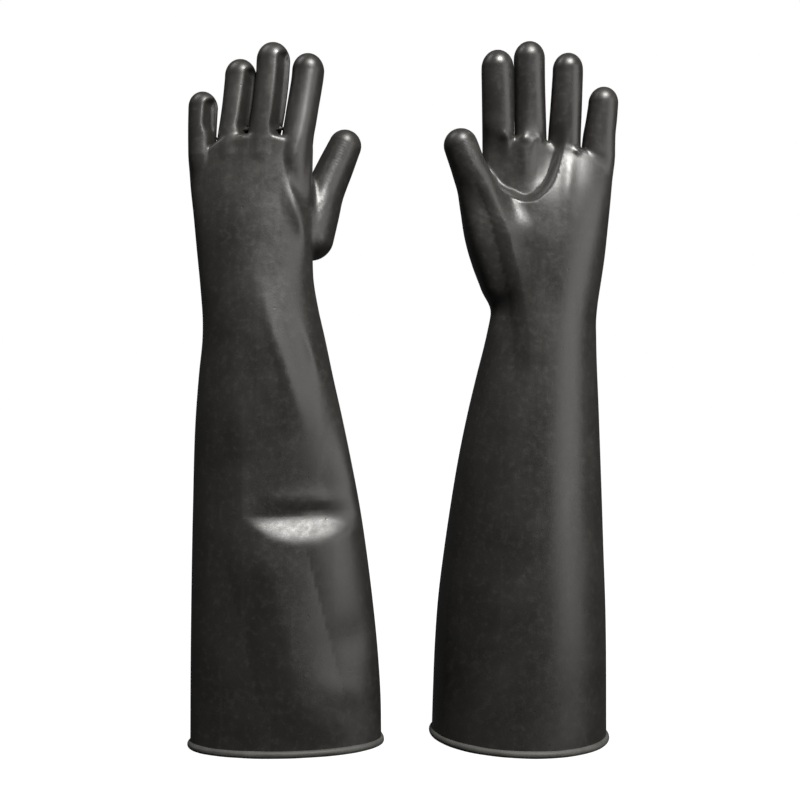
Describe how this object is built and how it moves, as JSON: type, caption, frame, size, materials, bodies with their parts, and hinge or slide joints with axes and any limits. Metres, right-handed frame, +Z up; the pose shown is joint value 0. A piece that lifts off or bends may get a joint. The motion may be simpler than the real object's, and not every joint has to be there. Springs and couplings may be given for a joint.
{
  "type": "pair of electrical insulating gloves",
  "caption": "Pair of long dipped rubber insulating gauntlets with rolled cuff beads, standing upright, with bending wrists, knuckles, fingers and thumbs.",
  "frame": {"origin": "middle of the pair's bounding box, on the surface that the cuffs stand on", "axes": "+Z up along the gloves towards the fingertips; +X from the left glove to the right one; +Y away from the viewer; the left glove shows the back of the hand to -Y and the right one its palm"},
  "size_m": [0.3642, 0.1348, 0.5998],
  "materials": {
    "glove_rubber": "semi-gloss dipped black rubber, warm grey tint, fine speckle and faint scratches",
    "cuff_roll_rubber": "matt dark grey rubber"
  },
  "bodies": {
    "left_sleeve": {"left_sleeve": "glove_rubber", "left_cuff_roll": "cuff_roll_rubber"},
    "left_hand": {"left_hand": "glove_rubber"},
    "left_finger_roots": {"left_finger_roots": "glove_rubber"},
    "left_index_tip": {"left_index_tip": "glove_rubber"},
    "left_middle_tip": {"left_middle_tip": "glove_rubber"},
    "left_ring_tip": {"left_ring_tip": "glove_rubber"},
    "left_little_tip": {"left_little_tip": "glove_rubber"},
    "left_thumb_tip": {"left_thumb_tip": "glove_rubber"},
    "right_sleeve": {"right_sleeve": "glove_rubber", "right_cuff_roll": "cuff_roll_rubber"},
    "right_hand": {"right_hand": "glove_rubber"},
    "right_finger_roots": {"right_finger_roots": "glove_rubber"},
    "right_index_tip": {"right_index_tip": "glove_rubber"},
    "right_middle_tip": {"right_middle_tip": "glove_rubber"},
    "right_ring_tip": {"right_ring_tip": "glove_rubber"},
    "right_little_tip": {"right_little_tip": "glove_rubber"},
    "right_thumb_tip": {"right_thumb_tip": "glove_rubber"}
  },
  "joints": [
    {"name": "right_lift", "type": "slide", "parent": "left_sleeve", "child": "right_sleeve", "axis": [0, 0, 1], "range_m": [0, 0.15]},
    {"name": "left_wrist_bend", "type": "hinge", "parent": "left_sleeve", "child": "left_hand", "pos_m": [-0.1215, 0.0198, 0.378], "axis": [-1, 0, 0], "range_deg": [0, 40], "stiffness_Nm_per_rad": 1.2},
    {"name": "left_knuckle_bend", "type": "hinge", "parent": "left_hand", "child": "left_finger_roots", "pos_m": [-0.1299, 0.0028, 0.49499], "axis": [-1, 0, 0], "range_deg": [0, 50], "stiffness_Nm_per_rad": 0.6},
    {"name": "left_index_bend", "type": "hinge", "parent": "left_finger_roots", "child": "left_index_tip", "pos_m": [-0.08514, 0.00088, 0.54494], "axis": [-1, 0, 0], "range_deg": [0, 60], "stiffness_Nm_per_rad": 0.12},
    {"name": "left_middle_bend", "type": "hinge", "parent": "left_finger_roots", "child": "left_middle_tip", "pos_m": [-0.11563, 0.0011, 0.54605], "axis": [-1, 0, 0], "range_deg": [0, 60], "stiffness_Nm_per_rad": 0.12},
    {"name": "left_ring_bend", "type": "hinge", "parent": "left_finger_roots", "child": "left_ring_tip", "pos_m": [-0.14341, 0.00018, 0.54339], "axis": [-1, 0, 0], "range_deg": [0, 60], "stiffness_Nm_per_rad": 0.12},
    {"name": "left_little_bend", "type": "hinge", "parent": "left_finger_roots", "child": "left_little_tip", "pos_m": [-0.17104, -0.00077, 0.53007], "axis": [-1, 0, 0], "range_deg": [0, 60], "stiffness_Nm_per_rad": 0.12},
    {"name": "left_thumb_bend", "type": "hinge", "parent": "left_hand", "child": "left_thumb_tip", "pos_m": [-0.06721, 0.02351, 0.48172], "axis": [-0.9018, -0.2416, 0.3582], "range_deg": [0, 30], "stiffness_Nm_per_rad": 0.2},
    {"name": "right_wrist_bend", "type": "hinge", "parent": "right_sleeve", "child": "right_hand", "pos_m": [0.1215, -0.0468, 0.378], "axis": [1, 0, 0], "range_deg": [0, 40], "stiffness_Nm_per_rad": 1.2},
    {"name": "right_knuckle_bend", "type": "hinge", "parent": "right_hand", "child": "right_finger_roots", "pos_m": [0.12325, -0.0298, 0.49499], "axis": [1, 0, 0], "range_deg": [0, 50], "stiffness_Nm_per_rad": 0.6},
    {"name": "right_index_bend", "type": "hinge", "parent": "right_finger_roots", "child": "right_index_tip", "pos_m": [0.08123, -0.02788, 0.54494], "axis": [1, 0, 0], "range_deg": [0, 60], "stiffness_Nm_per_rad": 0.12},
    {"name": "right_middle_bend", "type": "hinge", "parent": "right_finger_roots", "child": "right_middle_tip", "pos_m": [0.10977, -0.0281, 0.54605], "axis": [1, 0, 0], "range_deg": [0, 60], "stiffness_Nm_per_rad": 0.12},
    {"name": "right_ring_bend", "type": "hinge", "parent": "right_finger_roots", "child": "right_ring_tip", "pos_m": [0.13886, -0.02718, 0.54339], "axis": [1, 0, 0], "range_deg": [0, 60], "stiffness_Nm_per_rad": 0.12},
    {"name": "right_little_bend", "type": "hinge", "parent": "right_finger_roots", "child": "right_little_tip", "pos_m": [0.16905, -0.02623, 0.53007], "axis": [1, 0, 0], "range_deg": [0, 60], "stiffness_Nm_per_rad": 0.12},
    {"name": "right_thumb_bend", "type": "hinge", "parent": "right_hand", "child": "right_thumb_tip", "pos_m": [0.06721, -0.05051, 0.48172], "axis": [0.9018, 0.2416, 0.3582], "range_deg": [0, 30], "stiffness_Nm_per_rad": 0.2}
  ]
}
